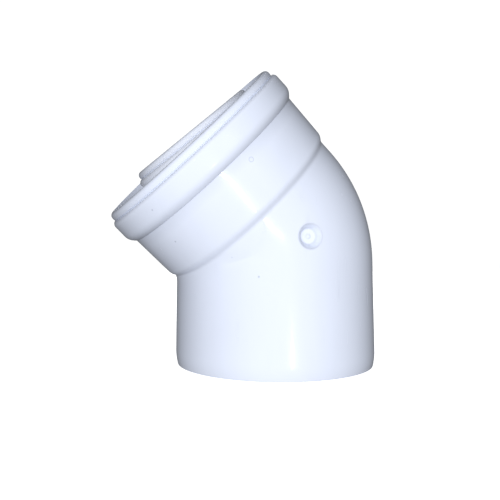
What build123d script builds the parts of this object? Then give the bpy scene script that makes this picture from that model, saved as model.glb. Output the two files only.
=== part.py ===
from build123d import *
from collections import namedtuple
from math import cos, radians, sin, tan
import os

# A 45 degree elbow for tube-in-tube (coaxial) pipe: an inner elbow for the duct sits loosely inside an
# outer elbow for the air around it. Each elbow has a plain spigot at the bottom and a push-fit socket
# with a lip seal at the top. All lengths are in millimetres.
#
# Frame: +Z runs up the outer spigot's axis, the origin is the centre of the outer spigot's end face, and
# the sockets lean over towards -X. Along the socket's leg, distances are counted from the end of the bend.

# ---------------------------------------------------------------- route of both elbows
bend_angle = 45.0
bend_radius = 32.0
bend_start = 51.5  # height at which the straight spigot turns into the bend

# ---------------------------------------------------------------- pipe sizes
outer_pipe_radius = 50.0
outer_wall = 2.0
inner_pipe_radius = 30.0
inner_wall = 2.0

lead_in_length = 3.5  # taper on a spigot's end that opens the lips of a seal
lead_in_depth = 1.0

# ---------------------------------------------------------------- sockets
socket_clearance = 0.35  # radial gap between a socket's bore and the pipe pushed into it
outer_stop = 9.5  # where a pushed-in pipe meets the stop, past the end of the bend
outer_depth = 42.8  # from the stop to the outer socket's nose
inner_recess = 3.0  # the inner spigot ends this far inside the outer one
nose_projection = 3.1  # the inner nose stands out this far past the outer nose
shoulder_rise = 3.0  # length of the slope that widens a bend into its socket
shoulder_lead = 1.0  # the slope starts this far before the stop's wall needs it
shoulder_round = 3.0
draft = 0.8  # a socket's body grows this much in radius from shoulder to step

# ---------------------------------------------------------------- seal bulge and rim
outer_seal_room = 3.25  # depth of the seal chamber outside the bore
inner_seal_room = 4.25
chamber_slope = 2.0
flank_run = 2.8  # length of the slope that leads from the step up to the bulge
flank_round = 6.0
bulge_round = 2.4
rim_round = 2.2
outer_bulge_length = 13.9
inner_bulge_length = 12.5
outer_rim_length = 3.9
inner_rim_length = 3.3
step_ledge = 0.5
groove_width = 1.0
rim_drop = 1.9  # the rim band's radius is this much less than the bulge's
groove_drop = 0.45  # the groove's floor lies this much below the rim band
mouth_flare = 1.2
flare_length = 3.0

# ---------------------------------------------------------------- lip seals
seal_seat_gap = 0.05
lip_gap = 0.2  # a lip is drawn pressed back this far from the bore's surface, as a pipe leaves it
lip_thickness = 1.2
seal_back = 1.3

# ---------------------------------------------------------------- centring ring between the elbows
ring_start = 0.6  # past the end of the bend or of the throat crease
ring_length = 7.0
ring_wall = 1.8
ring_grip = 0.02
leg_count = 4
leg_thickness = 2.0
foot_width = 9.0
foot_thickness = 1.8
foot_play = 0.25
inner_tilt = 3.9  # the inner elbow rocks this many degrees on its ring, upright
inner_shift = 1.2  # and its ring sits this far off centre, away from the throat

# ---------------------------------------------------------------- moulding marks on the outer elbow
gate_angle = 20.0  # round the bend from its start
gate_offset = 1.4  # outwards from the bend's centreline
gate_radius = 5.65
gate_floor_radius = 3.6
gate_depth = 3.2
gate_wall = 1.6  # plastic left round the well, on the inside of the bend
nub_radius = 1.1
nub_height = 0.5

overrun = 5.0  # how far a cutting shape runs past the face that it opens

bend = radians(bend_angle)
outer_nose = outer_stop + outer_depth
inner_stop = outer_stop + inner_recess
inner_nose = outer_nose + nose_projection

# One socket's sizes: radii, and distances along the socket's leg from the end of the bend.
Socket = namedtuple("Socket", "pipe wall bore chamber stop nose step groove")
outer_socket = Socket(
    pipe=outer_pipe_radius,
    wall=outer_wall,
    bore=outer_pipe_radius + socket_clearance,
    chamber=outer_pipe_radius + socket_clearance + outer_seal_room,
    stop=outer_stop,
    nose=outer_nose,
    step=outer_nose - outer_rim_length - outer_bulge_length,
    groove=outer_nose - outer_rim_length,
)
inner_socket = Socket(
    pipe=inner_pipe_radius,
    wall=inner_wall,
    bore=inner_pipe_radius + socket_clearance,
    chamber=inner_pipe_radius + socket_clearance + inner_seal_room,
    stop=inner_stop,
    nose=inner_nose,
    step=inner_nose - inner_rim_length - inner_bulge_length,
    groove=inner_nose - inner_rim_length,
)

# An elbow's own planes and axes, all measured from the plane of its spigot's end.
Route = namedtuple("Route", "spigot mitre turn_sketch turn_axis leg section leg_axis across")


def route_from(base):
    """The bend's start, its mitre, its turning axis and the socket's leg, seen from a base plane."""

    def point(x, z):
        return base.from_local_coords(Vector(x, 0, z))

    def direction(x, z):
        return point(x, z) - point(0, 0)

    centre = point(-bend_radius, bend_start)
    leg_start = point(-bend_radius * (1 - cos(bend)), bend_start + bend_radius * sin(bend))
    along = direction(-sin(bend), cos(bend))
    across = direction(cos(bend), sin(bend))
    front = base.y_dir * -1
    return Route(
        spigot=base,
        mitre=Plane(origin=centre, x_dir=base.y_dir, z_dir=direction(-sin(bend / 2), cos(bend / 2))),
        turn_sketch=base.offset(bend_start),
        turn_axis=Axis(centre, front),
        leg=Plane(origin=leg_start, x_dir=across, z_dir=along),
        section=Plane(origin=leg_start, x_dir=across, z_dir=front),
        leg_axis=Axis(leg_start, along),
        across=across,
    )


# ---------------------------------------------------------------- shapes that both elbows share
def straight_leg(route, radius, length):
    """A round leg that ends where the bend starts, with its inner side cut off on the mitre."""
    with BuildPart() as leg:
        with BuildSketch(route.turn_sketch.offset(-length)):
            Circle(radius)
        extrude(amount=length)
        split(bisect_by=route.mitre, keep=Keep.BOTTOM)
    return leg.part


def bent_rod(route, radius, spigot_run, socket_run):
    """A solid rod along the elbow: a straight leg, the bend, and a second leg that mirrors the first."""
    lower = straight_leg(route, radius, spigot_run)
    upper = straight_leg(route, radius, socket_run).mirror(route.mitre)
    with BuildPart() as rod:
        add(lower)
        with BuildSketch(route.turn_sketch):
            Circle(radius)
            with Locations((radius - bend_radius, 0)):
                Rectangle(2 * radius, 2 * radius, mode=Mode.INTERSECT)
        revolve(axis=route.turn_axis, revolution_arc=bend_angle)
        add(upper)
    return rod.part


def lead_in(route, radius, end):
    """The ring that is cut away to leave a taper on a spigot whose end is at the given height."""
    side = Plane(origin=route.spigot.origin, x_dir=route.spigot.x_dir, z_dir=route.turn_axis.direction)
    with BuildPart() as ring:
        with BuildSketch(side):
            with BuildLine():
                Polyline(
                    (radius, end + lead_in_length),
                    (radius - lead_in_depth, end),
                    (radius - lead_in_depth, end - overrun),
                    (radius + overrun, end - overrun),
                    (radius + overrun, end + lead_in_length),
                    close=True,
                )
            make_face()
        revolve(axis=Axis(route.spigot.origin, route.spigot.z_dir))
    return ring.part


def skin_radii(socket):
    """Radii of a socket's skin: at the shoulder, at the step, on the bulge, on the rim and in the groove."""
    high = socket.bore + socket.wall + draft / 2
    bulge = socket.chamber + socket.wall
    rim = bulge - rim_drop
    return high - draft, high, bulge, rim, rim - groove_drop


def socket_skin(route, socket):
    """The socket's outside as a solid: shoulder, tapered body, seal bulge, V groove and rim band."""
    low, high, bulge, rim, groove = skin_radii(socket)
    shoulder = socket.stop - shoulder_lead
    corners = [
        (socket.pipe, shoulder - shoulder_rise / 2),
        (low, shoulder + shoulder_rise / 2),
        (high, socket.step),
        (high + step_ledge, socket.step),
        (bulge, socket.step + flank_run),
        (bulge, socket.groove - groove_width / 2),
        (groove, socket.groove),
        (rim, socket.groove + groove_width / 2),
        (rim, socket.nose),
    ]
    rounds = {1: shoulder_round, 4: flank_round, 5: bulge_round, 8: rim_round}
    with BuildPart() as skin:
        with BuildSketch(route.section) as profile:
            with BuildLine():
                Polyline((0, corners[0][1]), *corners, (0, socket.nose), close=True)
            make_face()
            for corner, radius in rounds.items():
                fillet(profile.vertices().sort_by_distance(corners[corner])[0], radius)
        revolve(axis=route.leg_axis)
    return skin.part


def socket_bore(route, socket):
    """The socket's inside as a solid: the pipe's bore, the seal chamber and the flared mouth."""
    chamber_end = socket.groove - socket.wall
    chamber_start = socket.step + chamber_slope
    with BuildPart() as bore:
        with BuildSketch(route.section):
            with BuildLine():
                Polyline(
                    (0, socket.stop),
                    (socket.bore, socket.stop),
                    (socket.bore, chamber_start),
                    (socket.chamber, chamber_start + chamber_slope),
                    (socket.chamber, chamber_end),
                    (socket.bore, chamber_end),
                    (socket.bore, socket.nose - flare_length),
                    (socket.bore + mouth_flare, socket.nose),
                    (socket.bore + mouth_flare, socket.nose + overrun),
                    (0, socket.nose + overrun),
                    close=True,
                )
            make_face()
        revolve(axis=route.leg_axis)
    return bore.part


def lip_seal(route, socket):
    """A rubber ring in the seal chamber with two lips that lean towards the stop."""
    back = socket.chamber - seal_seat_gap
    waist = back - seal_back
    tip = socket.bore - lip_gap
    top = socket.groove - socket.wall - seal_seat_gap
    foot = socket.step + 2 * chamber_slope + seal_seat_gap
    middle = (top + foot) / 2
    lean = (top - foot) / 4
    with BuildPart() as seal:
        with BuildSketch(route.section):
            with BuildLine():
                Polyline(
                    (back, foot),
                    (back, top),
                    (waist, top),
                    (tip, top - lean),
                    (tip, top - lean - lip_thickness),
                    (waist, top - lip_thickness),
                    (waist, middle),
                    (tip, middle - lean),
                    (tip, middle - lean - lip_thickness),
                    (waist, foot),
                    close=True,
                )
            make_face()
        revolve(axis=route.leg_axis)
    return seal.part


# ---------------------------------------------------------------- where the two elbows lie
outer_route = route_from(Plane.XY)

# where the inner pipe is wider than its bend, its throat crease runs this far up the leg
inner_crease = max(0.0, inner_pipe_radius - bend_radius) * tan(radians(bend_angle) / 2)
ring_bottom = inner_crease + ring_start
ring_middle = ring_bottom + ring_length / 2
ring_centre = outer_route.leg.from_local_coords(Vector(0, 0, ring_middle))
shift = outer_route.across * inner_shift
rocked = Pos(*(ring_centre + shift)) * Rot(0, inner_tilt, 0) * Pos(*(ring_centre * -1))
inner_route = route_from(Plane(rocked))

# ---------------------------------------------------------------- outer elbow
outer_bore_radius = outer_pipe_radius - outer_wall
outer_rod = bent_rod(outer_route, outer_pipe_radius, bend_start, outer_stop)
outer_duct = bent_rod(outer_route, outer_bore_radius, bend_start + overrun, outer_stop)

gate_turn = radians(gate_angle)
gate_reach = bend_radius + gate_offset
gate_plane = Plane(
    origin=(
        gate_reach * cos(gate_turn) - bend_radius,
        -outer_pipe_radius,
        bend_start + gate_reach * sin(gate_turn),
    ),
    x_dir=(cos(gate_turn), 0, sin(gate_turn)),
    z_dir=(0, -1, 0),
)

with BuildPart() as outer_elbow:
    add(outer_rod)
    add(socket_skin(outer_route, outer_socket))
    add(outer_duct, mode=Mode.SUBTRACT)
    add(socket_bore(outer_route, outer_socket), mode=Mode.SUBTRACT)
    add(lead_in(outer_route, outer_pipe_radius, 0), mode=Mode.SUBTRACT)
    with BuildSketch(gate_plane.offset(-gate_depth - gate_wall)):
        Circle(gate_floor_radius + gate_wall)
    extrude(amount=gate_depth + gate_wall - outer_wall / 2)
    with BuildSketch(gate_plane.offset(-gate_depth)):
        Circle(gate_floor_radius)
    with BuildSketch(gate_plane):
        Circle(gate_radius)
    loft(mode=Mode.SUBTRACT)
    with BuildSketch(gate_plane.offset(-gate_depth)):
        Circle(nub_radius)
    extrude(amount=nub_height)
outer_elbow.part.label = "outer_elbow"

# ---------------------------------------------------------------- inner elbow
inner_bore_radius = inner_pipe_radius - inner_wall
spigot_run = bend_start - inner_recess
inner_rod = bent_rod(inner_route, inner_pipe_radius, spigot_run, inner_stop)
inner_duct = bent_rod(inner_route, inner_bore_radius, spigot_run + overrun, inner_stop)

with BuildPart() as inner_elbow:
    add(inner_rod)
    add(socket_skin(inner_route, inner_socket))
    add(inner_duct, mode=Mode.SUBTRACT)
    add(socket_bore(inner_route, inner_socket), mode=Mode.SUBTRACT)
    add(lead_in(inner_route, inner_pipe_radius, inner_recess), mode=Mode.SUBTRACT)
inner_elbow.part.label = "inner_elbow"

# ---------------------------------------------------------------- seals
outer_seal_solid = lip_seal(outer_route, outer_socket)
with BuildPart() as outer_seal:
    add(outer_seal_solid)
outer_seal.part.label = "outer_seal"

inner_seal_solid = lip_seal(inner_route, inner_socket)
with BuildPart() as inner_seal:
    add(inner_seal_solid)
inner_seal.part.label = "inner_seal"

# ---------------------------------------------------------------- centring ring
ring_radius = inner_pipe_radius + ring_grip
leg_angle = 360 / leg_count
foot_radius = outer_bore_radius - inner_shift * cos(radians(leg_angle / 2)) - foot_play
ring_plane = inner_route.leg.offset(ring_bottom)

with BuildPart() as centring_ring:
    with BuildSketch(ring_plane):
        Circle(foot_radius)
        Circle(foot_radius - foot_thickness, mode=Mode.SUBTRACT)
        with PolarLocations(foot_radius, leg_count, start_angle=leg_angle / 2):
            Rectangle(4 * foot_thickness, foot_width, mode=Mode.INTERSECT)
    extrude(amount=ring_length)
    with BuildSketch(ring_plane):
        with PolarLocations((ring_radius + foot_radius) / 2, leg_count, start_angle=leg_angle / 2):
            Rectangle(foot_radius - ring_radius - foot_thickness, leg_thickness)
        Circle(ring_radius + ring_wall)
        Circle(ring_radius, mode=Mode.SUBTRACT)
    extrude(amount=ring_length)
centring_ring.part.label = "centring_ring"

os.makedirs("parts", exist_ok=True)
export_step(outer_elbow.part, "parts/outer_elbow.step")
export_step(inner_elbow.part, "parts/inner_elbow.step")
export_step(outer_seal.part, "parts/outer_seal.step")
export_step(inner_seal.part, "parts/inner_seal.step")
export_step(centring_ring.part, "parts/centring_ring.step")
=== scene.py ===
import math

import bpy
import numpy as np
from bpy.props import FloatProperty, FloatVectorProperty, PointerProperty
from mathutils import Matrix, Vector


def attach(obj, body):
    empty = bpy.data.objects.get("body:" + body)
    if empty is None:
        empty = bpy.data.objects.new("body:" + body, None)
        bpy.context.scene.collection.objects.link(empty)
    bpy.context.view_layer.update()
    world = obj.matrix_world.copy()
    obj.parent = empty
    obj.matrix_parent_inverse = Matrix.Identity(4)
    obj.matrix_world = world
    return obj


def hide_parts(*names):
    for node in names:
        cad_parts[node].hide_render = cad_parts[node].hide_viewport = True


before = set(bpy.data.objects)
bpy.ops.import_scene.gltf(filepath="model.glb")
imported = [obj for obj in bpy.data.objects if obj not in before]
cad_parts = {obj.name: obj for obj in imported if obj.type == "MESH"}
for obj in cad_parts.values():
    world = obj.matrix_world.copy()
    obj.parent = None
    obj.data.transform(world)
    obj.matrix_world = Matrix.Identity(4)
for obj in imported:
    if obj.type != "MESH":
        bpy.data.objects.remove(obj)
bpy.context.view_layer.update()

bl_info = {
    "name": "Coaxial pipe elbow",
    "version": (1, 0, 0),
    "blender": (4, 5, 0),
    "location": "3D View > Sidebar > Elbow",
    "description": "Builds the looks of a 45 degree tube-in-tube elbow round its CAD frame",
    "category": "Object",
}

MM = 0.001

# ---------------------------------------------------------------- sizes shared by both elbows
BEND = math.radians(45)
BEND_RADIUS = 32 * MM
BEND_START = 51.5 * MM  # height at which a spigot turns into the bend
WALL = 2 * MM
SOCKET_CLEARANCE = 0.35 * MM
LEAD_IN_LENGTH = 3.5 * MM
LEAD_IN_DEPTH = 1.0 * MM
SHOULDER_RISE = 3.0 * MM
SHOULDER_LEAD = 1.0 * MM
DRAFT = 0.8 * MM
CHAMBER_SLOPE = 2.0 * MM
FLANK_RUN = 2.8 * MM
STEP_LEDGE = 0.5 * MM
GROOVE_WIDTH = 1.0 * MM
RIM_DROP = 1.9 * MM
GROOVE_DROP = 0.45 * MM
MOUTH_FLARE = 1.2 * MM
MOUTH_EASE = 0.25 * MM  # leaves room for the rim's full round
FLARE_LENGTH = 3.0 * MM
SHOULDER_END = 16 * MM  # on either leg the shoulder is over by here

# Each elbow's own sizes. Distances on the socket's leg count from the end of the bend.
OUTER = {
    "pipe": 50 * MM,
    "foot": 0 * MM,
    "stop": 9.5 * MM,
    "nose": 52.3 * MM,
    "rim": 3.9 * MM,
    "bulge": 13.9 * MM,
    "room": 3.25 * MM,
    "fan_reach": 23 * MM,
}
INNER = {
    "pipe": 30 * MM,
    "foot": 3 * MM,
    "stop": 12.5 * MM,
    "nose": 55.4 * MM,
    "rim": 3.3 * MM,
    "bulge": 12.5 * MM,
    "room": 4.25 * MM,
    "fan_reach": 20 * MM,
}

# ---------------------------------------------------------------- how the inner elbow lies in the outer one
RING_START = 0.6 * MM
RING_LENGTH = 7.0 * MM
INNER_TILT = math.radians(3.9)
INNER_SHIFT = 1.2 * MM

# ---------------------------------------------------------------- moulding marks on the outer elbow
GATE = (-0.6 * MM, 62.9 * MM)  # X and Z of the gate well's middle, on the front
GATE_RIM = 5.65 * MM
GATE_FLOOR = 3.6 * MM
GATE_DEPTH = 3.2 * MM
GATE_ROUND = 0.35 * MM
GATE_BOSS = 4.8 * MM  # depth below the skin of the plastic behind the well
THROAT_BLEND = 3.0 * MM
EASE_BLEND = 0.8 * MM
NUB_RADIUS = 1.1 * MM
NUB_HEIGHT = 0.7 * MM
# Strength of the painted shade at the gate well's rim, round its floor and round the nub.
GATE_SHADE = 2.0
PIN_MARK = (-29.2 * MM, 95.85 * MM)
PIN_MARK_RADIUS = 1.05 * MM

# The studio, in metres
FLOOR_HALF = 5.0
FLOOR_FLAT = 1.5
FLOOR_RISE = 1.2
FLOOR_GAP = 0.02 * MM
CAMERA_EYE = (-110.99, -305.41, 59.70)  # in millimetres
CAMERA_AHEAD = (0.27836, 0.95409, 0.11055)
CAMERA_ABOVE = (-0.03266, -0.10562, 0.99387)
CAMERA_SHIFT = (0.033, -0.151)
STUDIO_MIDDLE = (-17.0, 0.0, 74.0)  # what the lights point at, in millimetres


# ---------------------------------------------------------------- surfaces
def smooth(x):
    """Eases from 0 to 1 as x goes from 0 to 1, flat at both ends: three x squared less two x cubed."""
    x = np.clip(x, 0.0, 1.0)
    return x * x * (3 - 2 * x)


def soft_max(a, b, width):
    """The larger of a and b, rounded where they cross over a band of that width."""
    width = np.maximum(width, 1e-9)
    band = np.maximum(width - np.abs(a - b), 0.0)
    return np.maximum(a, b) + band * band / (4 * width)


def soft_min(a, b, width):
    """The smaller of a and b, rounded where they cross over a band of that width."""
    return -soft_max(-a, -b, width)


def graded(start, stop, coarse, fine, middle, reach):
    """Places from start to stop that crowd together round the middle.

    Their density is one over the coarse spacing, plus a bump of the fourth power that brings it to one
    over the fine spacing within reach of the middle. Equal steps of its running total give the places.
    """
    x = np.linspace(start, stop, 4000)
    density = 1 / coarse + (1 / fine - 1 / coarse) * np.exp(-(((x - middle) / reach) ** 4))
    total = np.concatenate([[0.0], np.cumsum((density[1:] + density[:-1]) / 2 * np.diff(x))])
    count = max(int(round(total[-1])), 2)
    return np.interp(np.linspace(0.0, total[-1], count + 1), total, x)


def rounded_line(corners, steps=5):
    """A line through the corners (along, radius, round), where each corner with a round is turned on an arc.

    Each arc touches both of its sides. Its points step evenly between the two directions from its
    centre, which lies on the corner's bisector at the round's radius over the sine of the half turn.
    Two rounds share the side between them in the ratio of their radii.
    """
    points = np.array([c[:2] for c in corners], float)
    rounds = [c[2] for c in corners]
    line = [points[:1]]
    for k in range(1, len(points) - 1):
        corner, radius = points[k], rounds[k]
        back, ahead = points[k - 1] - corner, points[k + 1] - corner
        back_length, ahead_length = np.linalg.norm(back), np.linalg.norm(ahead)
        back, ahead = back / back_length, ahead / ahead_length
        half = math.acos(float(np.clip(back @ ahead, -1, 1))) / 2
        if radius <= 0 or half > math.pi / 2 - 1e-3:
            line.append(corner[None])
            continue
        back_share = 0.97 * radius / (radius + rounds[k - 1])
        ahead_share = 0.97 * radius / (radius + rounds[k + 1])
        reach = min(radius / math.tan(half), back_share * back_length, ahead_share * ahead_length)
        radius = reach * math.tan(half)
        bisector = (back + ahead) / np.linalg.norm(back + ahead)
        centre = corner + bisector * radius / math.sin(half)
        first, last = corner + back * reach - centre, corner + ahead * reach - centre
        share = np.linspace(0.0, 1.0, steps + 1)[:, None]
        spokes = first * (1 - share) + last * share
        line.append(centre + spokes / np.linalg.norm(spokes, axis=1)[:, None] * radius)
    line.append(points[-1:])
    return np.concatenate(line)


def add_mesh(name, points, masks=()):
    """A closed surface from a grid of points whose last row meets its first and whose last column does too.

    The grid is wound so that its volume, summed from each face's corners, comes out positive.
    """
    rows, columns = points.shape[:2]
    row, column = np.meshgrid(np.arange(rows), np.arange(columns), indexing="ij")
    below, beside = (row + 1) % rows, (column + 1) % columns
    faces = np.stack(
        [row * columns + column, row * columns + beside, below * columns + beside, below * columns + column],
        axis=-1,
    ).reshape(-1, 4)
    return mesh_from(name, points.reshape(-1, 3), faces, masks)


def mesh_from(name, flat, faces, masks=()):
    """Puts points and four-cornered faces into a smooth-shaded mesh that rides the frame."""
    a, b, c, d = (flat[faces[:, k]] for k in range(4))
    volume = np.einsum("ij,ij->", a, np.cross(b, c)) + np.einsum("ij,ij->", a, np.cross(c, d))
    if volume < 0:
        faces = faces[:, ::-1]
    mesh = bpy.data.meshes.new(name)
    mesh.vertices.add(len(flat))
    mesh.vertices.foreach_set("co", flat.astype(np.float32).ravel())
    mesh.loops.add(faces.size)
    mesh.loops.foreach_set("vertex_index", np.ascontiguousarray(faces, dtype=np.int32).ravel())
    mesh.polygons.add(len(faces))
    mesh.polygons.foreach_set("loop_start", np.arange(0, faces.size, 4, dtype=np.int32))
    mesh.polygons.foreach_set("use_smooth", np.ones(len(faces), bool))
    mesh.update(calc_edges=True)
    for mask, values in masks:
        attribute = mesh.attributes.new(mask, "FLOAT", "POINT")
        attribute.data.foreach_set("value", values.astype(np.float32).ravel())
    piece = bpy.data.objects.new(name, mesh)
    bpy.context.scene.collection.objects.link(piece)
    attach(piece, "root")
    return piece


# ---------------------------------------------------------------- an elbow's path and its sections
class Path:
    """An elbow's path as a row of section planes, each holding the front-to-back direction.

    The planes lie flat on the spigot, fan out round a line beyond the throat, and stand square on the
    socket's leg. The fan's line lies outside the pipe, so that no two planes cross in the throat.
    Places on the path count from the base plane, along an arc through the middle of the fan.
    """

    def __init__(self, sizes):
        self.pipe = sizes["pipe"]
        reach = sizes["fan_reach"]
        self.fan_x = -BEND_RADIUS - reach * math.cos(BEND / 2)
        self.fan_z = BEND_START - reach * math.sin(BEND / 2)
        self.arc = -self.fan_x
        self.leg_from = self.fan_z + self.arc * BEND

    def on_leg(self, distance):
        """The place on the path of a distance along the socket's leg from the end of the bend."""
        return self.leg_from + distance - (BEND_START - self.fan_z)

    def sections(self, places):
        """Each section's middle and the direction across it, towards the outside of the bend."""
        turn = np.clip((places - self.fan_z) / self.arc, 0.0, BEND)
        below = np.minimum(places - self.fan_z, 0.0)
        beyond = np.maximum(places - self.leg_from, 0.0)
        nothing = np.zeros_like(places)
        across = np.stack([np.cos(turn), nothing, np.sin(turn)], axis=-1)
        middle = np.array([self.fan_x, 0.0, self.fan_z]) + self.arc * across
        middle[:, 2] += below
        middle += beyond[:, None] * np.array([-math.sin(BEND), 0.0, math.cos(BEND)])
        return middle, across

    def pipe_distance(self, points):
        """The distance from each point to the pipe's centreline: the nearest of two legs and an arc.

        Beyond the bend's centre the two legs' distances are joined by a soft minimum, which blends the
        crease in the throat, and round the bend's centre another soft minimum eases that into the arc's.
        """
        x, y, z = points[..., 0], points[..., 1], points[..., 2]
        from_x, from_z = x + BEND_RADIUS, z - BEND_START
        spigot = np.sqrt(x**2 + y**2 + np.maximum(from_z, 0.0) ** 2)
        across, along = self.leg_place(points)
        leg = np.sqrt(across**2 + y**2 + np.minimum(along, 0.0) ** 2)
        turn = np.clip(np.arctan2(from_z, from_x), 0.0, BEND)
        near_x, near_z = BEND_RADIUS * np.cos(turn), BEND_RADIUS * np.sin(turn)
        arc = np.sqrt((from_x - near_x) ** 2 + (from_z - near_z) ** 2 + y**2)
        outward = from_x * math.cos(BEND / 2) + from_z * math.sin(BEND / 2)
        legs = soft_min(spigot, leg, THROAT_BLEND * smooth((5 * MM - outward) / (12 * MM)))
        return soft_min(legs, arc, EASE_BLEND * (1 - smooth(np.abs(outward) / (12 * MM))))

    def leg_place(self, points):
        """Each point's offset across the socket's leg, and its distance along it from the end of the bend."""
        from_x, from_z = points[..., 0] + BEND_RADIUS, points[..., 2] - BEND_START
        across = from_x * math.cos(BEND) + from_z * math.sin(BEND) - BEND_RADIUS
        return across, -from_x * math.sin(BEND) + from_z * math.cos(BEND)

    def reach(self, middle, rays, inside):
        """How far each ray runs from its section's middle inside a shape, by halving an interval."""
        near = np.zeros(rays.shape[:2])
        far = np.full_like(near, 2.2 * self.pipe)
        for _ in range(36):
            halfway = (near + far) / 2
            within = inside(middle[:, None] + halfway[..., None] * rays)
            near, far = np.where(within, halfway, near), np.where(within, far, halfway)
        return (near + far) / 2

    def wall(self, places, radii, angles, shoulder=None):
        """Points of a pipe's wall, by place on the path and by angle round it.

        Up to the shoulder, each point lies where its ray comes to the row's distance from the
        centreline. The shoulder is a second shape, whose radius on the leg is a soft minimum of a slope
        and the socket's drafted body, and a soft maximum of the two reaches lets it grow out of the pipe.
        Beyond, a row's radius is its point's distance from the leg's axis.
        """
        middle, across = self.sections(places)
        front = np.array([0.0, -1.0, 0.0])
        rays = np.cos(angles)[None, :, None] * across[:, None] + np.sin(angles)[None, :, None] * front
        length = np.repeat(radii[:, None], len(angles), axis=1)
        bent = np.flatnonzero(places < self.on_leg(SHOULDER_END))
        limit = np.minimum(radii[bent], self.pipe)[:, None]
        in_pipe = lambda points: self.pipe_distance(points) < limit
        length[bent] = self.reach(middle[bent], rays[bent], in_pipe)
        if shoulder is not None:
            start, slope, low, draft = shoulder
            on_bend = (places > self.fan_z) & (places < self.on_leg(SHOULDER_END))
            rows = np.flatnonzero(on_bend & (radii > self.pipe - 1e-6))

            def in_shoulder(points):
                offset, along = self.leg_place(points)
                rise = self.pipe + (along - start) * slope
                body = low + (along - start) * draft
                return np.hypot(offset, points[..., 1]) < soft_min(rise, body, 0.8 * MM)

            grown = self.reach(middle[rows], rays[rows], in_shoulder)
            length[rows] = soft_max(length[rows], grown, 0.5 * MM)
        return middle[:, None] + length[..., None] * rays


def socket_radii(sizes):
    """A socket's radii: bore, seal chamber, skin at the shoulder and at the step, bulge, rim and groove."""
    bore = sizes["pipe"] + SOCKET_CLEARANCE
    chamber = bore + sizes["room"]
    high = bore + WALL + DRAFT / 2
    bulge = chamber + WALL
    rim = bulge - RIM_DROP
    return bore, chamber, high - DRAFT, high, bulge, rim, rim - GROOVE_DROP


def shoulder_shape(sizes):
    """A shoulder's start on the leg, its slope, and the socket body's radius there and its draft."""
    low, high = socket_radii(sizes)[2:4]
    start = sizes["stop"] - SHOULDER_LEAD - SHOULDER_RISE / 2
    step = sizes["nose"] - sizes["rim"] - sizes["bulge"]
    draft = (high - low) / (step - start - SHOULDER_RISE)
    return start, (low - sizes["pipe"]) / SHOULDER_RISE, low - draft * SHOULDER_RISE, draft


def elbow_rows(path, sizes, outside_rows, inside_rows):
    """The closed line that each elbow's wall follows: up the skin, over the nose and back down the duct.

    Returns the rows' places, radii, whether each is on the skin, and how much painted shade it gets at the
    groove and the step.
    """
    bore, chamber, _, high, bulge, rim, groove = socket_radii(sizes)
    pipe, foot, nose = sizes["pipe"], sizes["foot"], sizes["nose"]
    duct = pipe - WALL
    start, _, body, draft = shoulder_shape(sizes)
    valley = nose - sizes["rim"]
    step = valley - sizes["bulge"]
    leg = path.on_leg
    skin = rounded_line(
        [
            (foot, duct, 0),
            (foot, pipe - LEAD_IN_DEPTH, 0.7 * MM),
            (foot + LEAD_IN_LENGTH, pipe, 24.0 * MM),
            (foot + 3 * LEAD_IN_LENGTH, pipe, 0),
        ]
    )[1:]
    socket = rounded_line(
        [
            (leg(step - 6 * MM), body + draft * (step - 6 * MM - start), 0),
            (leg(step), high, 0.12 * MM),
            (leg(step), high + STEP_LEDGE, 0.12 * MM),
            (leg(step + FLANK_RUN), bulge, 6.0 * MM),
            (leg(valley - GROOVE_WIDTH / 2), bulge, 2.4 * MM),
            (leg(valley), groove, 0.3 * MM),
            (leg(valley + GROOVE_WIDTH / 2), rim, 0.5 * MM),
            (leg(nose), rim, 2.2 * MM),
            (leg(nose), bore + MOUTH_FLARE - MOUTH_EASE, 0.1 * MM),
            (leg(nose - FLARE_LENGTH), bore, 0.6 * MM),
            (leg(valley - WALL), bore, 0.2 * MM),
            (leg(valley - WALL), chamber, 0.3 * MM),
            (leg(step + 2 * CHAMBER_SLOPE), chamber, 0.6 * MM),
            (leg(step + CHAMBER_SLOPE), bore, 0.6 * MM),
            (leg(step - 4 * MM), bore, 0),
        ],
        steps=6,
    )
    seat = rounded_line(
        [
            (leg(sizes["stop"] + 6.6 * MM), bore, 0),
            (leg(sizes["stop"]), bore, 0.25 * MM),
            (leg(sizes["stop"]), duct, 0.25 * MM),
            (leg(sizes["stop"] - 0.6 * MM), duct, 0),
        ]
    )
    body_rows = np.linspace(leg(16.1 * MM), leg(step - 7 * MM), 6)
    along = body_rows - leg(0.0)
    outside = np.stack([outside_rows, np.full_like(outside_rows, pipe)], axis=-1)
    straight = np.stack([body_rows, body + draft * (along - start)], axis=-1)
    inside = np.stack([inside_rows[::-1], np.full_like(inside_rows, duct)], axis=-1)
    end = np.array([[foot + 0.6 * MM, duct], [foot + 0.15 * MM, duct + 0.03 * MM], [foot, duct + 0.15 * MM]])
    line = np.concatenate([skin, outside, straight, socket, seat, inside, end])
    on_skin = np.arange(len(line)) < len(skin) + len(outside) + len(straight) + len(socket) // 2
    places, radii = line[:, 0], line[:, 1]
    # Painted shade: narrow bells of darkening at the groove and at the step, on the skin only.
    in_groove = np.exp(-(((places - leg(valley)) / (0.45 * MM)) ** 2)) * on_skin
    at_step = np.exp(-(((places - leg(step)) / (0.30 * MM)) ** 2)) * on_skin
    return places, radii, on_skin, np.maximum(in_groove, at_step)


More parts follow.
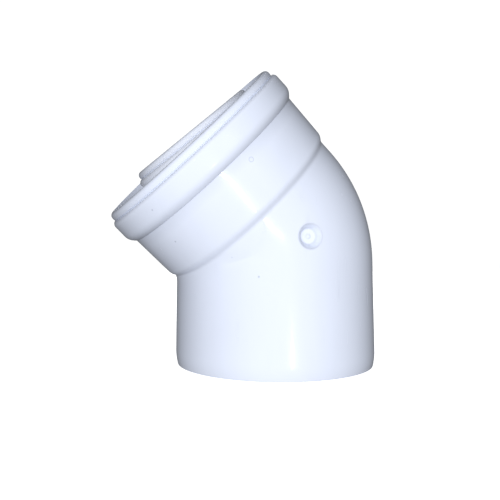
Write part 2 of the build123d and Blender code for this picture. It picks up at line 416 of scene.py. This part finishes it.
def gate_well(points, on_skin):
    """Sinks the gate's conical well into the front of the skin, and the boss behind it into the duct.

    Returns the shade at each point: narrow bells at the well's rim, round its floor and round the nub.

    The well's depth falls from its floor to its rim as a straight cone, and a soft maximum rounds where
    it meets the skin. A dome stands on its floor: its height times one less the radius's share squared.
    """
    off = np.hypot(points[..., 0] - GATE[0], points[..., 2] - GATE[1])
    front = points[..., 1] < 0
    skin_level = -OUTER["pipe"]
    slope = GATE_DEPTH / (GATE_RIM - GATE_FLOOR)
    cone = np.minimum(GATE_DEPTH, (GATE_RIM - off) * slope)
    nub = NUB_HEIGHT * smooth(1 - off / NUB_RADIUS)
    well = soft_max(points[..., 1], skin_level + cone, GATE_ROUND) - nub
    boss_cone = np.minimum(GATE_BOSS, (GATE_RIM + 2.6 * MM - off) * 1.6)
    boss = soft_max(points[..., 1], skin_level + boss_cone, GATE_ROUND)
    near = front & (off < GATE_RIM + 4 * MM)
    outer = near & on_skin[:, None]
    inner = near & ~on_skin[:, None]
    points[..., 1] = np.where(outer, well, np.where(inner, boss, points[..., 1]))
    # Painted shade: dark bells at the well's rim, round its floor and round the nub.
    at_rim = np.exp(-(((off - GATE_RIM) / (0.3 * MM)) ** 2))
    at_floor = np.exp(-(((off - GATE_FLOOR) / (0.4 * MM)) ** 2))
    at_nub = np.exp(-(((off - NUB_RADIUS) / (0.25 * MM)) ** 2))
    return GATE_SHADE * (at_rim + 0.8 * at_floor + 0.7 * at_nub) * outer


def placed(points, matrix):
    """The points moved by a 4 by 4 matrix."""
    turn = np.array(matrix.to_3x3())
    return points @ turn.T + np.array(matrix.translation)


def inner_place():
    """How the inner elbow lies: rocked upright about its centring ring, and shifted away from the throat."""
    across = Vector((math.cos(BEND), 0, math.sin(BEND)))
    along = Vector((-math.sin(BEND), 0, math.cos(BEND)))
    bend_centre = Vector((-BEND_RADIUS, 0, BEND_START))
    ring = bend_centre + across * BEND_RADIUS + along * (RING_START + RING_LENGTH / 2)
    rocked = Matrix.Rotation(INNER_TILT, 4, "Y")
    return Matrix.Translation(ring + across * INNER_SHIFT) @ rocked @ Matrix.Translation(-ring)


INNER_PLACE = inner_place()


# ---------------------------------------------------------------- materials
def new_material(name):
    """An empty node material with its output and its Principled shader."""
    material = bpy.data.materials.new(name)
    material.use_nodes = True
    tree = material.node_tree
    tree.nodes.clear()
    output = tree.nodes.new("ShaderNodeOutputMaterial")
    shader = tree.nodes.new("ShaderNodeBsdfPrincipled")
    tree.links.new(shader.outputs["BSDF"], output.inputs["Surface"])
    return material, tree, shader


def new_group(name, inputs, outputs):
    """An empty node group with named inputs (name, kind, value) and outputs (name, kind)."""
    group = bpy.data.node_groups.new(name, "ShaderNodeTree")
    for label, kind, value in inputs:
        socket = group.interface.new_socket(label, in_out="INPUT", socket_type=kind)
        if value is not None:
            socket.default_value = value
    for label, kind in outputs:
        group.interface.new_socket(label, in_out="OUTPUT", socket_type=kind)
    return group, group.nodes.new("NodeGroupInput"), group.nodes.new("NodeGroupOutput")


def node(tree, kind, values=(), **settings):
    """A node with its settings, and with its sockets linked or set from (socket, value) pairs."""
    made = tree.nodes.new(kind)
    for label, value in settings.items():
        setattr(made, label, value)
    for socket, value in values:
        if isinstance(value, bpy.types.NodeSocket):
            tree.links.new(value, made.inputs[socket])
        else:
            made.inputs[socket].default_value = value
    return made


def math_node(tree, operation, a, b=0.0, clamp=False):
    """The result of one sum on two values or sockets."""
    return node(
        tree, "ShaderNodeMath", [(0, a), (1, b)], operation=operation, use_clamp=clamp
    ).outputs["Value"]


def ramp(tree, value, low, high, out_low=0.0, out_high=1.0):
    """The value eased from one range to another, flat at both ends."""
    pairs = [("Value", value), ("From Min", low), ("From Max", high)]
    pairs += [("To Min", out_low), ("To Max", out_high)]
    return node(tree, "ShaderNodeMapRange", pairs, interpolation_type="SMOOTHSTEP").outputs["Result"]


def mixed(tree, share, first, second):
    """A colour mixed from two by a share."""
    made = tree.nodes.new("ShaderNodeMix")
    made.data_type = "RGBA"
    sockets = [s for s in made.inputs if s.enabled]
    for socket, value in zip(sockets, (share, first, second)):
        if isinstance(value, bpy.types.NodeSocket):
            tree.links.new(value, socket)
        else:
            socket.default_value = value
    return next(s for s in made.outputs if s.enabled)


def noise(tree, place, scale, detail=2.0, roughness=0.5, distortion=0.0):
    """A noise value at that scale, per metre."""
    pairs = [("Vector", place), ("Scale", scale), ("Detail", detail), ("Roughness", roughness)]
    return node(tree, "ShaderNodeTexNoise", pairs + [("Distortion", distortion)]).outputs["Fac"]


def moulded_skin_group():
    """Injection-moulded plastic: faint clouds in its colour and gloss, flow lines and an orange-peel skin."""
    group, inputs, outputs = new_group(
        "moulded skin",
        [
            ("Colour", "NodeSocketColor", None),
            ("Deep colour", "NodeSocketColor", None),
            ("Roughness", "NodeSocketFloat", 0.3),
            ("Cloud size", "NodeSocketFloat", 30.0),
        ],
        [
            ("Colour", "NodeSocketColor"),
            ("Roughness", "NodeSocketFloat"),
            ("Height", "NodeSocketFloat"),
        ],
    )
    place = node(group, "ShaderNodeTexCoord").outputs["Object"]
    clouds = noise(group, place, inputs.outputs["Cloud size"], 3.0, 0.55)
    along = [("Vector", place), ("Rotation", (0.0, 0.5, 0.0)), ("Scale", (1.0, 1.0, 0.16))]
    flow_place = node(group, "ShaderNodeMapping", along).outputs["Vector"]
    flow = noise(group, flow_place, 140.0, 2.0, 0.5, 0.6)
    peel = noise(group, place, 900.0, 1.0, 0.4)
    ripple = noise(group, place, 110.0, 1.0, 0.5)
    cloud_shade = ramp(group, clouds, 0.1, 0.9, 0.0, 0.6)
    flow_shade = ramp(group, flow, 0.1, 0.9, 0.0, 0.4)
    shade = math_node(group, "ADD", cloud_shade, flow_shade)
    colour = mixed(group, shade, inputs.outputs["Colour"], inputs.outputs["Deep colour"])
    cloud_gloss = ramp(group, clouds, 0.1, 0.9, -0.03, 0.04)
    flow_gloss = ramp(group, flow, 0.1, 0.9, -0.02, 0.02)
    wear = math_node(group, "ADD", cloud_gloss, flow_gloss)
    rough = math_node(group, "ADD", inputs.outputs["Roughness"], wear, clamp=True)
    peel_height = math_node(group, "MULTIPLY", peel, 0.35)
    ripple_height = math_node(group, "MULTIPLY", ripple, 0.65)
    height = math_node(group, "ADD", peel_height, ripple_height)
    group.links.new(colour, outputs.inputs["Colour"])
    group.links.new(rough, outputs.inputs["Roughness"])
    group.links.new(height, outputs.inputs["Height"])
    return group


def handling_marks_group():
    """Marks of a fitting that has been handled: sparse dark specks, and hairline scuffs along the pipe."""
    group, inputs, outputs = new_group(
        "handling marks",
        [
            ("Speck spacing", "NodeSocketFloat", 90.0),
            ("Speck size", "NodeSocketFloat", 0.05),
            ("Amount", "NodeSocketFloat", 1.0),
        ],
        [("Specks", "NodeSocketFloat"), ("Scuffs", "NodeSocketFloat")],
    )
    place = node(group, "ShaderNodeTexCoord").outputs["Object"]
    spacing = inputs.outputs["Speck spacing"]
    cells = node(group, "ShaderNodeTexVoronoi", [("Vector", place), ("Scale", spacing)])
    picked = node(group, "ShaderNodeSeparateColor", [("Color", cells.outputs["Color"])]).outputs["Red"]
    chosen = ramp(group, picked, 0.70, 0.74)
    size = math_node(group, "MULTIPLY", inputs.outputs["Speck size"], picked)
    amount = inputs.outputs["Amount"]
    spot = ramp(group, math_node(group, "DIVIDE", cells.outputs["Distance"], size), 0.6, 1.4, 1.0, 0.0)
    specks = math_node(group, "MULTIPLY", math_node(group, "MULTIPLY", spot, chosen), amount)
    along = [("Vector", place), ("Rotation", (0.3, 0.4, 0.0)), ("Scale", (1.0, 1.0, 0.12))]
    drawn = node(group, "ShaderNodeMapping", along).outputs["Vector"]
    hairs = noise(group, drawn, 420.0, 1.0, 0.4, 1.2)
    patches = ramp(group, noise(group, place, 26.0, 2.0, 0.5), 0.52, 0.68)
    in_patches = math_node(group, "MULTIPLY", ramp(group, hairs, 0.62, 0.72), patches)
    scuffs = math_node(group, "MULTIPLY", in_patches, amount)
    group.links.new(specks, outputs.inputs["Specks"])
    group.links.new(scuffs, outputs.inputs["Scuffs"])
    return group


def pin_mark_group():
    """The witness ring that an ejector pin leaves on the front: a mask by distance from the pin's axis."""
    group, inputs, outputs = new_group(
        "pin mark",
        [
            ("Centre", "NodeSocketVector", None),
            ("Radius", "NodeSocketFloat", 0.00105),
            ("Line", "NodeSocketFloat", 0.0003),
        ],
        [("Ring", "NodeSocketFloat"), ("Disc", "NodeSocketFloat")],
    )
    place = node(group, "ShaderNodeTexCoord").outputs["Object"]
    away = node(
        group, "ShaderNodeVectorMath", [(0, place), (1, inputs.outputs["Centre"])], operation="SUBTRACT"
    ).outputs["Vector"]
    flat = node(
        group, "ShaderNodeVectorMath", [(0, away), (1, (1.0, 0.0, 1.0))], operation="MULTIPLY"
    ).outputs["Vector"]
    length = node(group, "ShaderNodeVectorMath", [(0, flat)], operation="LENGTH").outputs["Value"]
    depth = node(group, "ShaderNodeSeparateXYZ", [("Vector", place)]).outputs["Y"]
    front = ramp(group, depth, -0.020, -0.040)
    off_ring = math_node(group, "ABSOLUTE", math_node(group, "SUBTRACT", length, inputs.outputs["Radius"]))
    share = math_node(group, "DIVIDE", off_ring, inputs.outputs["Line"])
    ring = math_node(group, "MULTIPLY", ramp(group, share, 0.2, 1.0, 1.0, 0.0), front)
    inside = math_node(group, "DIVIDE", length, inputs.outputs["Radius"])
    disc = math_node(group, "MULTIPLY", ramp(group, inside, 0.85, 1.05, 1.0, 0.0), front)
    group.links.new(ring, outputs.inputs["Ring"])
    group.links.new(disc, outputs.inputs["Disc"])
    return group


def shared_group(name, maker):
    """A node group that is made on first use and shared afterwards."""
    return bpy.data.node_groups.get(name) or maker()


def plastic_material(name, looks, colour, deep, roughness, cloud_size, pin=False):
    """Glossy white moulded plastic with crevice shade, specks, scuffs and, if asked, the pin's mark."""
    material, tree, shader = new_material(name)
    skin = node(
        tree,
        "ShaderNodeGroup",
        node_tree=shared_group("moulded skin", moulded_skin_group),
    )
    skin.inputs["Colour"].default_value = (*colour, 1.0)
    skin.inputs["Deep colour"].default_value = (*deep, 1.0)
    skin.inputs["Roughness"].default_value = roughness
    skin.inputs["Cloud size"].default_value = cloud_size
    marks = node(
        tree,
        "ShaderNodeGroup",
        node_tree=shared_group("handling marks", handling_marks_group),
    )
    marks.inputs["Amount"].default_value = looks.wear
    # Painted shade: the crevice attribute darkens the groove, the step and the gate well towards the
    # grime-and-shade colour. Specks, scuffs and the pin's ring are real marks in the same colour.
    crevice = node(tree, "ShaderNodeAttribute", attribute_name="crevice").outputs["Fac"]
    painted_shade_share = math_node(tree, "MULTIPLY", crevice, looks.crevice_shade, clamp=True)
    grime_and_shade = tuple(looks.grime_and_shade_colour) + (1.0,)
    colour_out = mixed(tree, painted_shade_share, skin.outputs["Colour"], grime_and_shade)
    colour_out = mixed(tree, math_node(tree, "MULTIPLY", marks.outputs["Scuffs"], 0.10), colour_out, grime_and_shade)
    colour_out = mixed(tree, math_node(tree, "MULTIPLY", marks.outputs["Specks"], 0.55), colour_out, grime_and_shade)
    height = skin.outputs["Height"]
    if pin:
        mark = node(tree, "ShaderNodeGroup", node_tree=shared_group("pin mark", pin_mark_group))
        mark.inputs["Centre"].default_value = (PIN_MARK[0], 0.0, PIN_MARK[1])
        mark.inputs["Radius"].default_value = PIN_MARK_RADIUS
        colour_out = mixed(tree, math_node(tree, "MULTIPLY", mark.outputs["Ring"], 0.35), colour_out, grime_and_shade)
        height = math_node(tree, "SUBTRACT", height, math_node(tree, "MULTIPLY", mark.outputs["Ring"], 4.0))
    scuffed = math_node(tree, "MULTIPLY", marks.outputs["Scuffs"], 0.18)
    rough = math_node(tree, "ADD", skin.outputs["Roughness"], scuffed, clamp=True)
    bump = node(
        tree, "ShaderNodeBump", [("Height", height), ("Strength", looks.skin_relief), ("Distance", 0.00012)]
    )
    tree.links.new(colour_out, shader.inputs["Base Color"])
    tree.links.new(rough, shader.inputs["Roughness"])
    tree.links.new(bump.outputs["Normal"], shader.inputs["Normal"])
    shader.inputs["IOR"].default_value = 1.5
    shader.inputs["Coat Weight"].default_value = looks.sheen_coat
    shader.inputs["Coat Roughness"].default_value = 0.07
    return material


def rubber_material(looks):
    """Matt black seal rubber with a fine grain, a greyish bloom in patches and a powdery sheen."""
    material, tree, shader = new_material("seal rubber")
    place = node(tree, "ShaderNodeTexCoord").outputs["Object"]
    grain = noise(tree, place, 2600.0, 2.0, 0.6)
    bloom = ramp(tree, noise(tree, place, 70.0, 3.0, 0.6), 0.45, 0.75)
    colour = mixed(tree, bloom, (*looks.rubber_colour, 1.0), (*looks.bloom_colour, 1.0))
    rough = ramp(tree, bloom, 0.0, 1.0, 0.55, 0.75)
    bump = node(tree, "ShaderNodeBump", [("Height", grain), ("Strength", 0.35), ("Distance", 0.0001)])
    tree.links.new(colour, shader.inputs["Base Color"])
    tree.links.new(rough, shader.inputs["Roughness"])
    tree.links.new(bump.outputs["Normal"], shader.inputs["Normal"])
    return material


# ---------------------------------------------------------------- what a user would change
class ELBOW_PG_looks(bpy.types.PropertyGroup):
    outer_colour: FloatVectorProperty(
        name="Outer colour",
        description="Colour of the outer elbow's plastic",
        subtype="COLOR",
        size=3,
        min=0.0,
        max=1.0,
        default=(0.75, 0.805, 0.945),
    )
    inner_colour: FloatVectorProperty(
        name="Inner colour",
        description="Colour of the inner elbow's plastic",
        subtype="COLOR",
        size=3,
        min=0.0,
        max=1.0,
        default=(0.76, 0.805, 0.92),
    )
    ring_colour: FloatVectorProperty(
        name="Ring colour",
        description="Colour of the centring ring",
        subtype="COLOR",
        size=3,
        min=0.0,
        max=1.0,
        default=(0.62, 0.64, 0.68),
    )
    rubber_colour: FloatVectorProperty(
        name="Rubber colour",
        description="Colour of the lip seals",
        subtype="COLOR",
        size=3,
        min=0.0,
        max=1.0,
        default=(0.018, 0.018, 0.020),
    )
    bloom_colour: FloatVectorProperty(
        name="Bloom colour",
        description="Colour of the bloom on the lip seals",
        subtype="COLOR",
        size=3,
        min=0.0,
        max=1.0,
        default=(0.045, 0.045, 0.050),
    )
    # Colour of the real specks and scuffs, and of the painted shade in the groove, the step and the gate
    # well.
    grime_and_shade_colour: FloatVectorProperty(
        name="Grime colour",
        description="Colour of specks, scuffs and of the dust in crevices",
        subtype="COLOR",
        size=3,
        min=0.0,
        max=1.0,
        default=(0.28, 0.31, 0.40),
    )
    plastic_roughness: FloatProperty(
        name="Plastic roughness",
        description="Roughness of the moulded plastic",
        subtype="FACTOR",
        min=0.0,
        max=1.0,
        default=0.21,
    )
    # Strength of the painted shade in the groove, the step and the gate well.
    crevice_shade: FloatProperty(
        name="Crevice shade",
        description="How strongly dust shades the groove, the step and the gate well",
        subtype="FACTOR",
        min=0.0,
        max=1.0,
        default=0.16,
    )
    wear: FloatProperty(
        name="Handling marks",
        description="How strongly specks and scuffs show",
        subtype="FACTOR",
        min=0.0,
        max=1.0,
        default=0.8,
    )
    skin_relief: FloatProperty(
        name="Skin relief",
        description="Strength of the moulded skin's orange peel",
        subtype="FACTOR",
        min=0.0,
        max=1.0,
        default=0.07,
    )
    sheen_coat: FloatProperty(
        name="Gloss coat",
        description="Weight of the smooth outermost skin",
        subtype="FACTOR",
        min=0.0,
        max=1.0,
        default=0.35,
    )


class ELBOW_PG_studio(bpy.types.PropertyGroup):
    lens: FloatProperty(
        name="Lens",
        description="Focal length of the camera",
        subtype="DISTANCE_CAMERA",
        default=44.53,
    )
    key_power: FloatProperty(
        name="Key light",
        description="Power of the large soft light in front",
        subtype="POWER",
        default=8.6,
    )
    fill_power: FloatProperty(
        name="Fill light",
        description="Power of the second soft light, to the right",
        subtype="POWER",
        default=2.25,
    )
    back_power: FloatProperty(
        name="Back light",
        description="Power of the soft light behind and above",
        subtype="POWER",
        default=6.0,
    )
    window_power: FloatProperty(
        name="Window light",
        description="Power of the small panel that shows as a soft reflection",
        subtype="POWER",
        default=0.27,
    )
    surround: FloatProperty(
        name="Surround",
        description="Brightness of the room round the object",
        default=0.13,
    )


# ---------------------------------------------------------------- pieces
class ELBOW_OT_outer(bpy.types.Operator):
    """Builds the outer elbow's wall as one closed surface, with its gate well"""

    bl_idname = "elbow.outer"
    bl_label = "Outer elbow"

    def execute(self, context):
        looks = context.scene.elbow_looks
        path = Path(OUTER)
        gate_turn = math.atan2(GATE[1] - path.fan_z, GATE[0] - path.fan_x)
        gate_place = path.fan_z + gate_turn * path.arc
        gate_off = math.hypot(GATE[0] - path.fan_x, GATE[1] - path.fan_z) - path.arc
        gate_angle = math.atan2(OUTER["pipe"], gate_off)
        first, shoulder = 4 * LEAD_IN_LENGTH, path.leg_from - 4 * MM
        outside = np.concatenate(
            [
                graded(first, shoulder, 1.4 * MM, 0.33 * MM, gate_place, 8 * MM)[:-1],
                np.linspace(shoulder, path.on_leg(15.8 * MM), 30),
            ]
        )
        inside = graded(2 * MM, path.on_leg(OUTER["stop"] - MM), 1.8 * MM, 0.6 * MM, gate_place, 9 * MM)
        angles = graded(-math.pi / 2, math.pi * 1.5, 0.0320, 0.0066, gate_angle, 0.165)[:-1]
        places, radii, on_skin, crevice = elbow_rows(path, OUTER, outside, inside)
        points = path.wall(places, radii, angles, shoulder_shape(OUTER))
        # Painted shade at the groove, the step and the gate well, stored in the crevice attribute.
        shade = crevice[:, None] + gate_well(points, on_skin)
        piece = add_mesh("outer_elbow_shell", points, [("crevice", shade)])
        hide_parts("outer_elbow")
        colour = tuple(looks.outer_colour)
        deep = tuple(0.965 * c for c in colour)
        gloss = looks.plastic_roughness
        piece.data.materials.append(
            plastic_material("outer plastic", looks, colour, deep, gloss, 34.0, pin=True)
        )
        return {"FINISHED"}


class ELBOW_OT_inner(bpy.types.Operator):
    """Builds the inner elbow's wall as one closed surface, lying as it does in the outer one"""

    bl_idname = "elbow.inner"
    bl_label = "Inner elbow"

    def execute(self, context):
        looks = context.scene.elbow_looks
        path = Path(INNER)
        first = INNER["foot"] + 4 * LEAD_IN_LENGTH
        outside = np.concatenate(
            [
                np.linspace(first, path.leg_from - 4 * MM, 50)[:-1],
                np.linspace(path.leg_from - 4 * MM, path.on_leg(15.8 * MM), 24),
            ]
        )
        inside = np.linspace(INNER["foot"] + 2 * MM, path.on_leg(INNER["stop"] - MM), 50)
        angles = np.linspace(0, 2 * math.pi, 192, endpoint=False)
        places, radii, _, crevice = elbow_rows(path, INNER, outside, inside)
        points = placed(path.wall(places, radii, angles, shoulder_shape(INNER)), INNER_PLACE)
        # Painted shade at the groove and the step, stored in the crevice attribute.
        shade = np.repeat(crevice[:, None], len(angles), axis=1)
        piece = add_mesh("inner_elbow_shell", points, [("crevice", shade)])
        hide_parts("inner_elbow")
        deep = tuple(0.96 * c for c in looks.inner_colour)
        piece.data.materials.append(
            plastic_material("inner plastic", looks, tuple(looks.inner_colour), deep, 0.30, 42.0)
        )
        return {"FINISHED"}


def seal_line(sizes):
    """A lip seal's closed outline as places on the leg and radii, with every corner rounded."""
    bore, chamber = socket_radii(sizes)[:2]
    valley = sizes["nose"] - sizes["rim"]
    step = valley - sizes["bulge"]
    gap = 0.05 * MM
    back, waist, tip = chamber - gap, chamber - gap - 1.3 * MM, bore - 0.2 * MM
    top, foot = valley - WALL - gap, step + 2 * CHAMBER_SLOPE + gap
    middle, lean, lip = (top + foot) / 2, (top - foot) / 4, 1.2 * MM
    start = ((foot + top) / 2, back, 0)
    return rounded_line(
        [
            start,
            (top, back, 0.4 * MM),
            (top, waist, 0.4 * MM),
            (top - lean, tip, 0.45 * MM),
            (top - lean - lip, tip, 0.45 * MM),
            (top - lip, waist, 0.5 * MM),
            (middle, waist, 0.5 * MM),
            (middle - lean, tip, 0.45 * MM),
            (middle - lean - lip, tip, 0.45 * MM),
            (foot, waist, 0.3 * MM),
            (foot, back, 0.4 * MM),
            start,
        ],
        steps=4,
    )[:-1]


class ELBOW_OT_seals(bpy.types.Operator):
    """Builds the two lip seals by turning their rounded outline about each socket's axis"""

    bl_idname = "elbow.seals"
    bl_label = "Lip seals"

    def execute(self, context):
        material = rubber_material(context.scene.elbow_looks)
        angles = np.linspace(0, 2 * math.pi, 192, endpoint=False)
        for name, sizes, matrix in (
            ("outer_seal", OUTER, Matrix.Identity(4)),
            ("inner_seal", INNER, INNER_PLACE),
        ):
            line = seal_line(sizes)
            path = Path(sizes)
            middle, across = path.sections(path.on_leg(line[:, 0]))
            front = np.array([0.0, -1.0, 0.0])
            rays = np.cos(angles)[None, :, None] * across[:, None] + np.sin(angles)[None, :, None] * front
            points = placed(middle[:, None] + line[:, 1][:, None, None] * rays, matrix)
            piece = add_mesh(name + "_rubber", points)
            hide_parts(name)
            piece.data.materials.append(material)
        return {"FINISHED"}


class ELBOW_OT_ring(bpy.types.Operator):
    """Keeps the CAD's centring ring as it is, and gives it its plastic"""

    bl_idname = "elbow.ring"
    bl_label = "Centring ring"

    def execute(self, context):
        looks = context.scene.elbow_looks
        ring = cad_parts["centring_ring"]
        colour = tuple(looks.ring_colour)
        deep = tuple(0.93 * c for c in colour)
        material = plastic_material("ring plastic", looks, colour, deep, 0.5, 60.0)
        ring.data.materials.clear()
        ring.data.materials.append(material)
        return {"FINISHED"}


# ---------------------------------------------------------------- studio
def area_light(name, place, target, size, power, colour=(1.0, 1.0, 1.0)):
    """A rectangular soft light at a place, turned towards its target."""
    data = bpy.data.lights.new(name, "AREA")
    data.shape = "RECTANGLE"
    data.size, data.size_y = size
    data.energy = power
    data.color = colour
    light = bpy.data.objects.new(name, data)
    light.location = place
    light.rotation_euler = (Vector(target) - Vector(place)).to_track_quat("-Z", "Y").to_euler()
    bpy.context.scene.collection.objects.link(light)
    return light


class ELBOW_OT_studio(bpy.types.Operator):
    """Sets up the pale floor, the soft lights and the camera"""

    bl_idname = "elbow.studio"
    bl_label = "Studio"

    def execute(self, context):
        studio = context.scene.elbow_studio
        scene = context.scene
        eye = Vector(CAMERA_EYE) * MM
        ahead = Vector(CAMERA_AHEAD).normalized()
        above = Vector(CAMERA_ABOVE)
        side = ahead.cross(above).normalized()
        above = side.cross(ahead)
        data = bpy.data.cameras.new("camera")
        data.lens = studio.lens
        data.sensor_width = 36.0
        data.shift_x, data.shift_y = CAMERA_SHIFT
        data.clip_start, data.clip_end = 0.01, 50.0
        camera = bpy.data.objects.new("camera", data)
        camera.matrix_world = Matrix(
            (
                (side.x, above.x, -ahead.x, eye.x),
                (side.y, above.y, -ahead.y, eye.y),
                (side.z, above.z, -ahead.z, eye.z),
                (0, 0, 0, 1),
            )
        )
        scene.collection.objects.link(camera)
        scene.camera = camera

        # The floor is flat for FLOOR_FLAT round the object, and its height then grows as the square of the
        # distance beyond, so that it rises into a wall on every side.
        line = np.linspace(-FLOOR_HALF, FLOOR_HALF, 97)
        across, back = np.meshgrid(line, line, indexing="ij")
        beyond = np.maximum(np.hypot(across, back) - FLOOR_FLAT, 0.0)
        points = np.stack([across, back, FLOOR_RISE * beyond**2 - FLOOR_GAP], axis=-1)
        rows, columns = points.shape[:2]
        row, column = np.meshgrid(np.arange(rows - 1), np.arange(columns - 1), indexing="ij")
        corner = row * columns + column
        faces = np.stack([corner, corner + columns, corner + columns + 1, corner + 1], axis=-1).reshape(-1, 4)
        mesh = bpy.data.meshes.new("floor")
        mesh.from_pydata(points.reshape(-1, 3).tolist(), [], faces.tolist())
        mesh.polygons.foreach_set("use_smooth", np.ones(len(faces), bool))
        floor = bpy.data.objects.new("floor", mesh)
        scene.collection.objects.link(floor)
        material, tree, shader = new_material("floor paper")
        place = node(tree, "ShaderNodeTexCoord").outputs["Object"]
        paper = noise(tree, place, 8.0, 2.0, 0.5)
        colour = mixed(tree, paper, (0.90, 0.90, 0.91, 1.0), (0.93, 0.93, 0.94, 1.0))
        tree.links.new(colour, shader.inputs["Base Color"])
        shader.inputs["Roughness"].default_value = 0.9
        shader.inputs["Specular IOR Level"].default_value = 0.1
        shader.inputs["Emission Color"].default_value = (1.0, 1.0, 1.0, 1.0)
        shader.inputs["Emission Strength"].default_value = 0.90
        clear = tree.nodes.new("ShaderNodeBsdfTransparent")
        either = tree.nodes.new("ShaderNodeMixShader")
        tree.links.new(tree.nodes.new("ShaderNodeNewGeometry").outputs["Backfacing"], either.inputs["Fac"])
        tree.links.new(shader.outputs["BSDF"], either.inputs[1])
        tree.links.new(clear.outputs["BSDF"], either.inputs[2])
        tree.links.new(either.outputs["Shader"], tree.nodes["Material Output"].inputs["Surface"])
        floor.data.materials.append(material)
        floor.visible_glossy = False
        floor.visible_diffuse = False
        floor.visible_shadow = False

        world = bpy.data.worlds.new("room")
        world.use_nodes = True
        background = world.node_tree.nodes["Background"]
        background.inputs["Color"].default_value = (0.95, 0.97, 1.0, 1.0)
        background.inputs["Strength"].default_value = studio.surround
        scene.world = world
        scene.view_settings.view_transform = "Standard"

        middle = Vector(STUDIO_MIDDLE) * MM
        right = Vector((0.96, -0.28, 0.0))
        towards = -Vector((ahead.x, ahead.y, 0.0)).normalized()
        up = Vector((0.0, 0.0, 1.0))

        def around(turn, lift, distance):
            """A place round the object, by angles to the right of the camera and above it."""
            turn, lift = math.radians(turn), math.radians(lift)
            flat = towards * math.cos(turn) + right * math.sin(turn)
            return middle + (flat * math.cos(lift) + up * math.sin(lift)) * distance

        key = area_light("key light", around(-9, -3, 1.0), middle, (0.16, 0.16), studio.key_power)
        key.visible_glossy = False
        area_light("window light", around(16.5, -15.2, 0.9), middle, (0.036, 0.107), studio.window_power)
        fill = area_light("fill light", around(30, 10, 1.0), middle, (0.25, 0.25), studio.fill_power)
        fill.visible_glossy = False
        back = area_light("back light", around(180, 35, 1.0), middle, (0.5, 0.5), studio.back_power)
        back.visible_glossy = False
        return {"FINISHED"}


class ELBOW_PT_panel(bpy.types.Panel):
    """Lists the elbow's pieces, its looks and its studio"""

    bl_label = "Coaxial pipe elbow"
    bl_idname = "ELBOW_PT_panel"
    bl_space_type = "VIEW_3D"
    bl_region_type = "UI"
    bl_category = "Elbow"

    def draw(self, context):
        layout = self.layout
        for operator in OPERATORS:
            layout.operator(operator.bl_idname)
        for group in (context.scene.elbow_looks, context.scene.elbow_studio):
            box = layout.box()
            for name in group.__annotations__:
                box.prop(group, name)


OPERATORS = (ELBOW_OT_outer, ELBOW_OT_inner, ELBOW_OT_seals, ELBOW_OT_ring, ELBOW_OT_studio)
CLASSES = (ELBOW_PG_looks, ELBOW_PG_studio, *OPERATORS, ELBOW_PT_panel)


def register():
    """Registers the classes and hangs the two groups of settings on the scene."""
    for cls in CLASSES:
        bpy.utils.register_class(cls)
    bpy.types.Scene.elbow_looks = PointerProperty(type=ELBOW_PG_looks)
    bpy.types.Scene.elbow_studio = PointerProperty(type=ELBOW_PG_studio)


def unregister():
    """Takes back what register did."""
    del bpy.types.Scene.elbow_studio
    del bpy.types.Scene.elbow_looks
    for cls in reversed(CLASSES):
        bpy.utils.unregister_class(cls)


def main():
    """Builds every piece and the stage."""
    register()
    bpy.ops.elbow.outer()
    bpy.ops.elbow.inner()
    bpy.ops.elbow.seals()
    bpy.ops.elbow.ring()
    bpy.ops.elbow.studio()


if __name__ == "__main__":
    main()
